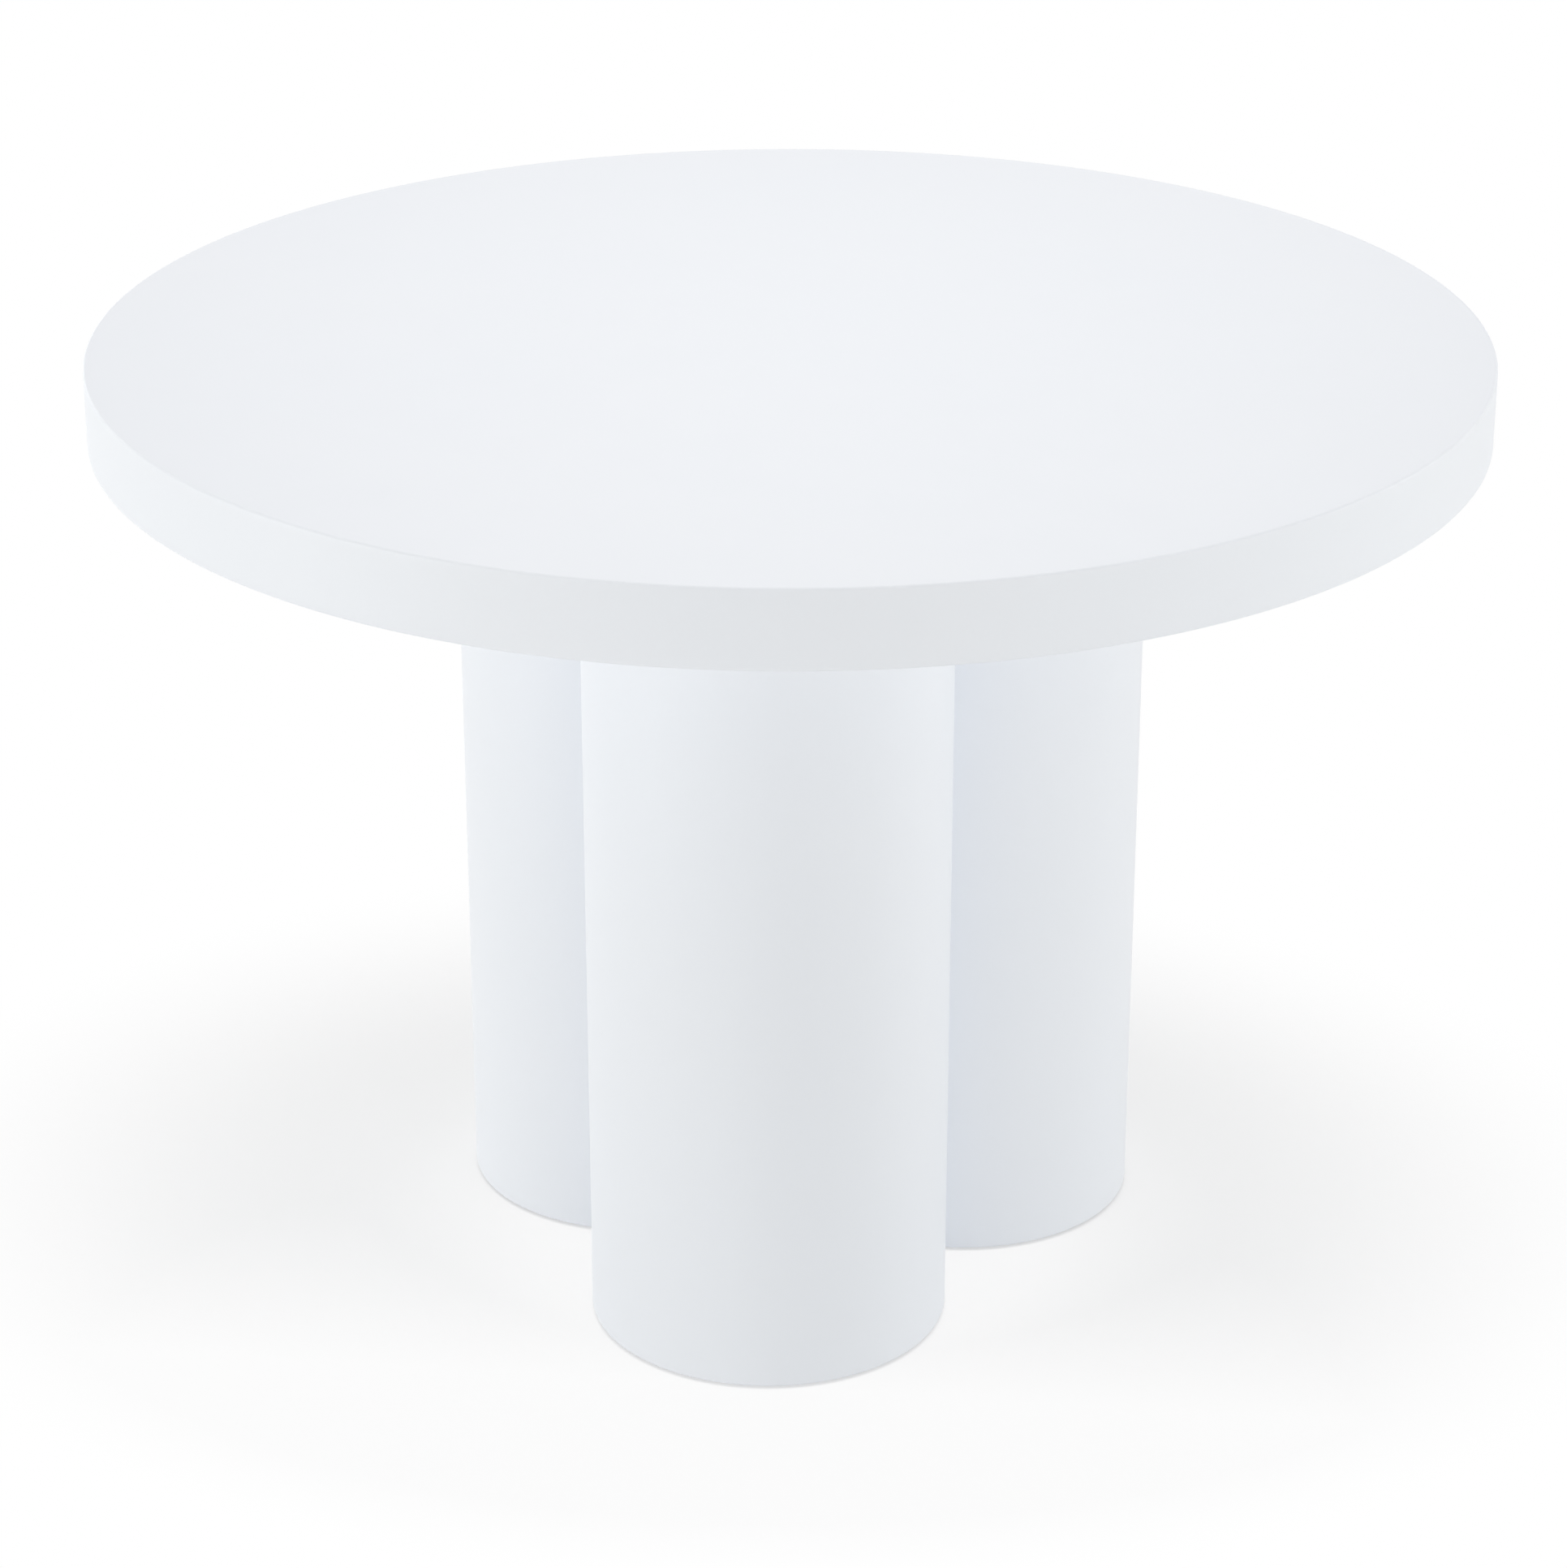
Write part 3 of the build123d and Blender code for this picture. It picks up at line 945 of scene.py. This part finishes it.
@dataclass(frozen=True)
class Leveller:
    """Screw leveller: a nylon pad with a socket, and the ball-ended stud that turns in it."""

    column: ColumnName
    number: int
    axis: Vector
    pad_radius: float
    pad_height: float
    stud_bottom: float
    stud_top: float
    skirt_height: float = 3.5 * MM
    skirt_chamfer: float = 0.8 * MM
    skirt_round: float = 0.5 * MM
    boss_radius: float = 8.5 * MM
    boss_height: float = 2 * MM
    boss_round: float = 0.4 * MM
    socket_room: float = 0.1 * MM
    ball_radius: float = 5 * MM
    neck_radius: float = 3 * MM
    neck_showing: float = 2 * MM
    collar_height: float = 5 * MM
    collar_flat: float = 6.5 * MM
    collar_corner: float = 7.5 * MM
    thread_radius: float = 4 * MM
    thread_pitch: float = 1.25 * MM
    end_chamfer: float = 1 * MM
    pad_segments: int = 72
    stud_segments: int = 48
    ball_steps: int = 14
    round_steps: int = 4
    shoulder_steepness: float = 70.0  # of the shoulder's normal, in degrees above level

    @classmethod
    def from_frame(cls, column: ColumnName, number: int) -> "Leveller":
        """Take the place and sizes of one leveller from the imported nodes.

        Args:
            column: Column that it stands under.
            number: Its number under that column, from 1.

        Returns:
            The leveller.
        """
        pad_low, pad_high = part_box(f"leveller_pad_{column.value}_{number}")
        stud_low, stud_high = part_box(f"leveller_stud_{column.value}_{number}")
        middle = (pad_low + pad_high) / 2
        return cls(
            column=column,
            number=number,
            axis=Vector((middle.x, middle.y, 0)),
            pad_radius=pad_high.y - middle.y,
            pad_height=pad_high.z,
            stud_bottom=stud_low.z,
            stud_top=stud_high.z,
        )

    @property
    def ball_centre(self) -> float:
        """Level of the ball's centre."""
        return self.stud_bottom + self.ball_radius

    def pad(self) -> TurnedPart:
        """Pad with a chamfered skirt, a sloping shoulder, a boss and the socket in it.

        Returns:
            The pad, on its own axis.
        """
        socket = self.ball_radius + self.socket_room
        mouth = math.degrees(math.asin((self.pad_height - self.ball_centre) / socket))
        boss_top = (self.boss_radius - self.boss_round, self.pad_height - self.boss_round)
        shoulder = self.pad_height - self.boss_height
        skirt = (self.pad_radius - self.skirt_round, self.skirt_height - self.skirt_round)
        section = arc((0.0, self.ball_centre), socket, -90, mouth, self.ball_steps)
        section += arc(boss_top, self.boss_round, 90, 0, self.round_steps)
        section += [(self.boss_radius, shoulder)]
        section += arc(skirt, self.skirt_round, self.shoulder_steepness, 0, self.round_steps)
        section += [(self.pad_radius, self.skirt_chamfer), (self.pad_radius - self.skirt_chamfer, 0.0)]
        section += [(0.0, 0.0)]
        return TurnedPart(section, self.pad_segments)

    def stud(self) -> TurnedPart:
        """Stud with a thread, a hex collar, a neck and a ball.

        Returns:
            The stud, on its own axis.
        """
        collar_bottom = self.pad_height + self.neck_showing
        collar_top = collar_bottom + self.collar_height
        slope = (self.collar_corner - self.collar_flat) * HEX_CORNER_SLOPE
        thread = Thread(self.thread_pitch, collar_top, self.stud_top - self.end_chamfer)
        joint = math.degrees(math.acos(self.neck_radius / self.ball_radius))
        section = [(0.0, self.stud_top), (self.thread_radius - self.end_chamfer, self.stud_top)]
        section += [(self.thread_radius, level) for level in thread.levels()]
        section += [(self.collar_flat, collar_top), (self.collar_corner, collar_top - slope)]
        section += [(self.collar_corner, collar_bottom + slope), (self.collar_flat, collar_bottom)]
        section += [(self.neck_radius, collar_bottom)]
        section += arc((0.0, self.ball_centre), self.ball_radius, joint, -90, self.ball_steps)
        return TurnedPart(section, self.stud_segments, flats=Flats(self.collar_flat), thread=thread)

    def build(self, workshop: Workshop) -> None:
        """Make the pad and the stud, each on its own body.

        Args:
            workshop: Tools and finishes to make them with.
        """
        suffix = f"{self.column.value}_{self.number}"
        for kind, body, part, slot in (
            ("pad", f"pad_{suffix}", self.pad(), Slot.NYLON),
            ("stud", f"stud_{suffix}", self.stud(), Slot.ZINC),
        ):
            name = f"levelling_{kind}_{suffix}"
            mesh = part.mesh(workshop.lathe, name, workshop.finishes[slot], self.axis)
            workshop.place_piece(mesh, body, [f"leveller_{kind}_{suffix}"])


@dataclass(frozen=True)
class ColumnFixings:
    """Metal that shows in the feet: threaded inserts, and the tie rods' ends, nuts and washers."""

    column_radius: float  # from the table's axis to a column's
    leveller_radius: float  # from a column's axis to a leveller's
    plug_bottom: float
    insert_top: float
    nut_bottom: float
    nut_top: float
    washer_top: float
    rod_bottom: float
    rod_top: float
    insert_flange: float = 10 * MM
    flange_thickness: float = 2 * MM
    flange_chamfer: float = 0.4 * MM
    insert_barrel: float = 5.5 * MM
    insert_bore: float = 4.08 * MM
    washer_radius: float = 13 * MM
    washer_bore: float = 5.25 * MM
    washer_round: float = 0.4 * MM
    nut_flat: float = 8.5 * MM
    nut_corner: float = 9.81 * MM
    nut_bore: float = 5.08 * MM
    rod_radius: float = 5 * MM
    rod_pitch: float = 1.5 * MM
    rod_chamfer: float = 1 * MM
    rod_threaded: float = 18 * MM  # the lower end, which is all that shows
    round_steps: int = 4
    segments: int = 48

    @classmethod
    def from_frame(cls) -> "ColumnFixings":
        """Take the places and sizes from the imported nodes.

        Returns:
            The fixings of all columns.
        """
        column = ColumnShell.from_frame(ColumnName.FRONT)
        leveller = Leveller.from_frame(ColumnName.FRONT, 1)
        insert_low, insert_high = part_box("leveller_inserts")
        nut_low, nut_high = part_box("tie_nuts")
        _, washer_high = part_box("tie_washers")
        rod_low, rod_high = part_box("tie_rod_front")
        return cls(
            column_radius=column.axis.length,
            leveller_radius=(leveller.axis - column.axis).length,
            plug_bottom=insert_low.z,
            insert_top=insert_high.z,
            nut_bottom=nut_low.z,
            nut_top=nut_high.z,
            washer_top=washer_high.z,
            rod_bottom=rod_low.z,
            rod_top=rod_high.z,
        )

    def insert(self) -> TurnedPart:
        """Flanged insert, with its flange at the foot plug's lower face.

        Returns:
            The insert, on its own axis.
        """
        flange_top = self.plug_bottom + self.flange_thickness
        rim = self.insert_flange - self.flange_chamfer
        section = [
            (self.insert_bore, self.insert_top),
            (self.insert_barrel, self.insert_top),
            (self.insert_barrel, flange_top),
            (self.insert_flange, flange_top),
            (self.insert_flange, self.plug_bottom + self.flange_chamfer),
            (rim, self.plug_bottom),
            (self.insert_bore + self.flange_chamfer, self.plug_bottom),
            (self.insert_bore, self.plug_bottom + self.flange_chamfer),
            (self.insert_bore, self.insert_top),
        ]
        return TurnedPart(section, self.segments)

    def washer(self) -> TurnedPart:
        """Punched washer with rolled edges.

        Returns:
            The washer, on the rod's axis.
        """
        ease = self.washer_round
        low = self.nut_top + ease
        high = self.washer_top - ease
        inner = self.washer_bore + ease
        outer = self.washer_radius - ease
        section = arc((inner, high), ease, 180, 90, self.round_steps)
        section += arc((outer, high), ease, 90, 0, self.round_steps)
        section += arc((outer, low), ease, 0, -90, self.round_steps)
        section += arc((inner, low), ease, -90, -180, self.round_steps)
        section += section[:1]
        return TurnedPart(section, self.segments)

    def nut(self) -> TurnedPart:
        """Hexagonal nut with its corners turned off and its bore countersunk.

        Returns:
            The nut, on the rod's axis.
        """
        slope = (self.nut_corner - self.nut_flat) * HEX_CORNER_SLOPE
        sink = self.nut_bore + slope
        section = [
            (sink, self.nut_top),
            (self.nut_flat, self.nut_top),
            (self.nut_corner, self.nut_top - slope),
            (self.nut_corner, self.nut_bottom + slope),
            (self.nut_flat, self.nut_bottom),
            (sink, self.nut_bottom),
            (self.nut_bore, self.nut_bottom + slope),
            (self.nut_bore, self.nut_top - slope),
            (sink, self.nut_top),
        ]
        return TurnedPart(section, self.segments, flats=Flats(self.nut_flat))

    def rod(self) -> TurnedPart:
        """Tie rod with its lower end threaded.

        Returns:
            The rod, on its own axis.
        """
        tip = self.rod_radius - self.rod_chamfer
        thread_bottom = self.rod_bottom + self.rod_chamfer
        thread = Thread(self.rod_pitch, thread_bottom, thread_bottom + self.rod_threaded)
        section = [(0.0, self.rod_top), (tip, self.rod_top)]
        section += [(self.rod_radius, self.rod_top - self.rod_chamfer)]
        section += [(self.rod_radius, level) for level in thread.levels()]
        section += [(tip, self.rod_bottom), (0.0, self.rod_bottom)]
        return TurnedPart(section, self.segments, thread=thread)

    def build(self, workshop: Workshop) -> None:
        """Make the fixings, each kind as one piece, and each rod by itself.

        Args:
            workshop: Tools and finishes to make them with.
        """
        zinc = workshop.finishes[Slot.ZINC]
        front = math.radians(ColumnShell.from_frame(ColumnName.FRONT).outward)
        at_levellers = (LEVELLERS_PER_COLUMN, self.leveller_radius)
        on_axis = (1, 0.0)
        for name, part, node, (per_column, ring_radius) in (
            ("threaded_inserts", self.insert(), "leveller_inserts", at_levellers),
            ("rod_washers", self.washer(), "tie_washers", on_axis),
            ("rod_nuts", self.nut(), "tie_nuts", on_axis),
        ):
            pattern = part.mesh(workshop.lathe, name, zinc)
            values = {
                "Per Column": per_column,
                "Ring Radius": ring_radius,
                "Column Radius": self.column_radius,
                "First Column": front,
                "Material": zinc,
            }
            mesh = workshop.setting_out.run(pattern, values)
            workshop.place_piece(mesh, TABLE_BODY, [node])
        for column in ColumnName:
            axis = ColumnShell.from_frame(column).axis
            mesh = self.rod().mesh(workshop.lathe, f"threaded_rod_{column.value}", zinc, axis)
            workshop.place_piece(mesh, TABLE_BODY, [f"tie_rod_{column.value}"])


@dataclass(frozen=True)
class Softbox:
    """Rectangular soft lamp that is aimed at the table."""

    name: str
    azimuth: float  # degrees round the table from the camera, positive to the camera's right
    power: float
    elevation: float = 0.0
    distance: float = 6.0
    width: float = 4.5
    height: float = 0.7  # below the top, which would mirror it
    aim: float = 0.4  # level on the table's axis
    colour: str = "#FEFFFC"

    def build(self, camera_azimuth: float) -> None:
        """Hang the lamp.

        Args:
            camera_azimuth: Where the camera stands, in degrees round the table from its front.
        """
        lamp = bpy.data.lights.new(self.name, "AREA")
        lamp.shape = "RECTANGLE"
        lamp.size = self.width
        lamp.size_y = self.height
        lamp.energy = self.power
        lamp.color = linear(self.colour)[:3]
        holder = bpy.data.objects.new(self.name, lamp)
        bpy.context.scene.collection.objects.link(holder)
        turn = math.radians(camera_azimuth + self.azimuth)
        rise = math.radians(self.elevation)
        away = Vector(
            (math.sin(turn) * math.cos(rise), -math.cos(turn) * math.cos(rise), math.sin(rise))
        )
        holder.location = Vector((0, 0, self.aim)) + away * self.distance
        holder.rotation_euler = away.to_track_quat("Z", "Y").to_euler()


@dataclass(frozen=True)
class PhotoCamera:
    """Camera at the photograph's viewpoint."""

    azimuth: float = 6.2  # degrees round the table, to the right of the front column
    distance: float = 3.275  # along the floor from the table's axis
    height: float = 1.803
    pitch: float = 23.50  # below the horizon
    pan: float = 0.09  # to the left of the table's axis
    focal_pixels: float = 5540.0
    sensor: float = 36.0

    def build(self) -> None:
        """Set the camera up and make it the scene's."""
        data = bpy.data.cameras.new("photo_camera")
        data.sensor_width = self.sensor
        data.lens = self.focal_pixels * self.sensor / max(PHOTO_WIDTH, PHOTO_HEIGHT)
        camera = bpy.data.objects.new("photo_camera", data)
        bpy.context.scene.collection.objects.link(camera)
        turn = math.radians(self.azimuth)
        camera.location = (self.distance * math.sin(turn), -self.distance * math.cos(turn), self.height)
        camera.rotation_euler = (
            math.radians(90 - self.pitch), 0.0, math.radians(self.azimuth + self.pan)
        )
        bpy.context.scene.camera = camera


@dataclass(frozen=True)
class Studio:
    """Pale paper floor, soft lamps, white surroundings and the camera."""

    camera: PhotoCamera
    lamps: tuple[Softbox, ...]
    ambient: float = 0.44
    ambient_colour: str = PLAIN_WHITE
    bounces: int = 12  # white faces pass much light on; with fewer, the creases turn too dark
    floor_colour: str = "#F7F7F7"
    floor_half: float = 9.0
    floor_level: float = -0.3 * MM  # just clear of the pads
    painted_shadow_middle: Point = (-0.03, 0.05)  # the table's soft shadow on the floor, painted as an ellipse over the real one
    painted_shadow_radii: Point = (0.57, 0.46)
    painted_shadow_fade: Span = (0.63, 1.37)  # from its depth to plain white, as shares of those radii
    painted_front_fade: Span = (-0.04, -0.29)  # painted light towards the camera, which thins the shadow out from one Y to the other
    painted_pool_middle: Point = (0.0, -0.06)  # painted pool of light round the feet
    painted_pool_fade: Span = (0.18, 0.38)  # from the painted pool to the painted shadow's depth, as distances
    least_white: float = 0.6  # share of plain white in the depth of the painted shadow, where the real shadow shows through
    painted_front_white: float = 0.92
    painted_pool_white: float = 0.84
    contact_reach: float = 3.0 * MM  # how far out of the gap under the columns the white is taken off, as painted contact shade over the real one
    contact_samples: int = 8

    def painted_white_share(self, tree: NodeTree) -> Source:
        """Share of plain white at a point of the floor, which paints the floor's shadow and light.

        Args:
            tree: Tree of the floor's material.

        Returns:
            The share: least in the painted shadow of the table, more in the painted light at the feet
                and in front, and full far out.
        """
        place = add_node(tree, "ShaderNodeTexCoord").outputs["Object"]
        ellipse = add_node(
            tree,
            "ShaderNodeMapping",
            {"Vector": place, "Location": (*self.painted_shadow_middle, 0), "Scale": (*self.painted_shadow_radii, 1)},
            vector_type="TEXTURE",
        )
        outwards = add_node(tree, "ShaderNodeVectorMath", {0: ellipse}, operation="LENGTH")
        depth = add_node(tree, "ShaderNodeSeparateXYZ", {0: place})
        # Distance from the middle of the painted pool of light round the feet.
        feet = add_node(
            tree, "ShaderNodeVectorMath", {0: place, 1: (*self.painted_pool_middle, 0)}, operation="DISTANCE"
        )
        brightest_painted_white: Source | float = self.least_white
        for way, (start, end), first, last, easing in (
            (outwards.outputs["Value"], self.painted_shadow_fade, self.least_white, 1.0, "SMOOTHSTEP"),
            (depth.outputs["Y"], self.painted_front_fade, self.least_white, self.painted_front_white, "LINEAR"),
            (feet.outputs["Value"], self.painted_pool_fade, self.painted_pool_white, self.least_white, "SMOOTHSTEP"),
        ):
            share = add_node(
                tree,
                "ShaderNodeMapRange",
                {"Value": way, "From Min": start, "From Max": end, "To Min": first, "To Max": last},
                interpolation_type=easing,
            )
            brightest_painted_white = add_node(tree, MATH, {0: brightest_painted_white, 1: share}, operation="MAXIMUM")
        return brightest_painted_white

    def floor_material(self) -> Material:
        """White paper under painted white: painted shadow and light near the table over its real shadow,
        fading to plain white farther out.

        Returns:
            The material, which is clear from below.
        """
        material, tree = new_material("studio_paper_with_painted_shade")
        # Occlusion takes the painted white off in and near the gap under the columns: painted contact
        # shade.
        open_floor = add_node(
            tree,
            "ShaderNodeAmbientOcclusion",
            {"Distance": self.contact_reach},
            samples=self.contact_samples,
        )
        share = self.painted_white_share(tree)
        for factor in (open_floor.outputs["AO"], looking(tree)):
            share = add_node(tree, MATH, {0: share, 1: factor}, operation="MULTIPLY")
        paper = add_node(tree, "ShaderNodeBsdfDiffuse", {"Color": linear(self.floor_colour)})
        # Plain white that glows for looking rays; where its share drops the paper's real shade shows, so
        # the share paints shadow and light.
        white = add_node(tree, "ShaderNodeEmission", {"Strength": 1.0})
        surface = add_node(tree, "ShaderNodeMixShader", {0: share, 1: paper, 2: white})
        from_below = add_node(tree, "ShaderNodeNewGeometry").outputs["Backfacing"]
        clear = add_node(tree, "ShaderNodeBsdfTransparent")
        sided = add_node(tree, "ShaderNodeMixShader", {0: from_below, 1: surface, 2: clear})
        add_node(tree, "ShaderNodeOutputMaterial", {"Surface": sided})
        return material

    def build_floor(self) -> None:
        """Lay the floor."""
        half = self.floor_half
        corners = [(-half, -half), (half, -half), (half, half), (-half, half)]
        mesh = bpy.data.meshes.new("floor")
        mesh.from_pydata([(x, y, self.floor_level) for x, y in corners], [], [range(4)])
        mesh.materials.append(self.floor_material())
        floor = bpy.data.objects.new("floor", mesh)
        bpy.context.scene.collection.objects.link(floor)

    def build_world(self) -> None:
        """Surround the table with soft light, and with plain white where it is looked at."""
        world = bpy.data.worlds.new("studio")
        world.use_nodes = True
        tree = world.node_tree
        tree.nodes.clear()
        soft = add_node(
            tree,
            "ShaderNodeBackground",
            {"Color": linear(self.ambient_colour), "Strength": self.ambient},
        )
        white = add_node(tree, "ShaderNodeBackground", {"Color": linear(PLAIN_WHITE), "Strength": 1.0})
        mix = add_node(tree, "ShaderNodeMixShader", {0: looking(tree), 1: soft, 2: white})
        add_node(tree, "ShaderNodeOutputWorld", {"Surface": mix})
        bpy.context.scene.world = world

    def build(self) -> None:
        """Set the studio up."""
        scene = bpy.context.scene
        scene.view_settings.view_transform = "Standard"
        scene.cycles.diffuse_bounces = self.bounces
        self.build_floor()
        self.build_world()
        for lamp in self.lamps:
            lamp.build(self.camera.azimuth)
        self.camera.build()


def dress_nodes(nodes: Mapping[str, Object], finishes: Mapping[Slot, Material]) -> None:
    """Give every CAD node the finish of its slot.

    Args:
        nodes: CAD nodes by name.
        finishes: Finishes by slot.
    """
    for node in nodes.values():
        for holder in node.material_slots:
            holder.material = finishes[Slot(holder.material.name)]


def main() -> None:
    """Build the table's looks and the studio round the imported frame."""
    logging.basicConfig(level=logging.INFO, format="%(name)s: %(message)s")
    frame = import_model()
    finishes = {
        Slot.LACQUER: SatinLacquer().material(),
        Slot.FIBREBOARD: BareFibreboard().material(),
        Slot.BEECH: TurnedBeech().material(),
        Slot.ZINC: ZincPlatedSteel().material(),
        Slot.NYLON: MouldedNylon().material(),
    }
    dress_nodes(frame["nodes"], finishes)
    workshop = Workshop(LatheTree(), SettingOutTree(), finishes)
    TableTop.from_frame().build(workshop)
    for column in ColumnName:
        ColumnShell.from_frame(column).build(workshop)
        for number in range(1, LEVELLERS_PER_COLUMN + 1):
            Leveller.from_frame(column, number).build(workshop)
    ColumnFixings.from_frame().build(workshop)
    lamps = (
        Softbox(
            "overhead",
            azimuth=0,
            power=16.6,
            elevation=88,
            distance=2.0,
            width=2.4,
            height=2.4,
            colour=PLAIN_WHITE,
        ),
        Softbox(
            "rear_top",
            azimuth=180,
            power=40,
            elevation=45,
            distance=5.0,
            width=2.5,
            height=2.5,
            colour=PLAIN_WHITE,
        ),
        Softbox("left_front", azimuth=-70, power=138),
        Softbox("right_front", azimuth=45, power=97),
        Softbox("left_back", azimuth=-150, power=25),
        Softbox("right_back", azimuth=105, power=44),
    )
    Studio(PhotoCamera(), lamps).build()


if __name__ == "__main__":
    main()
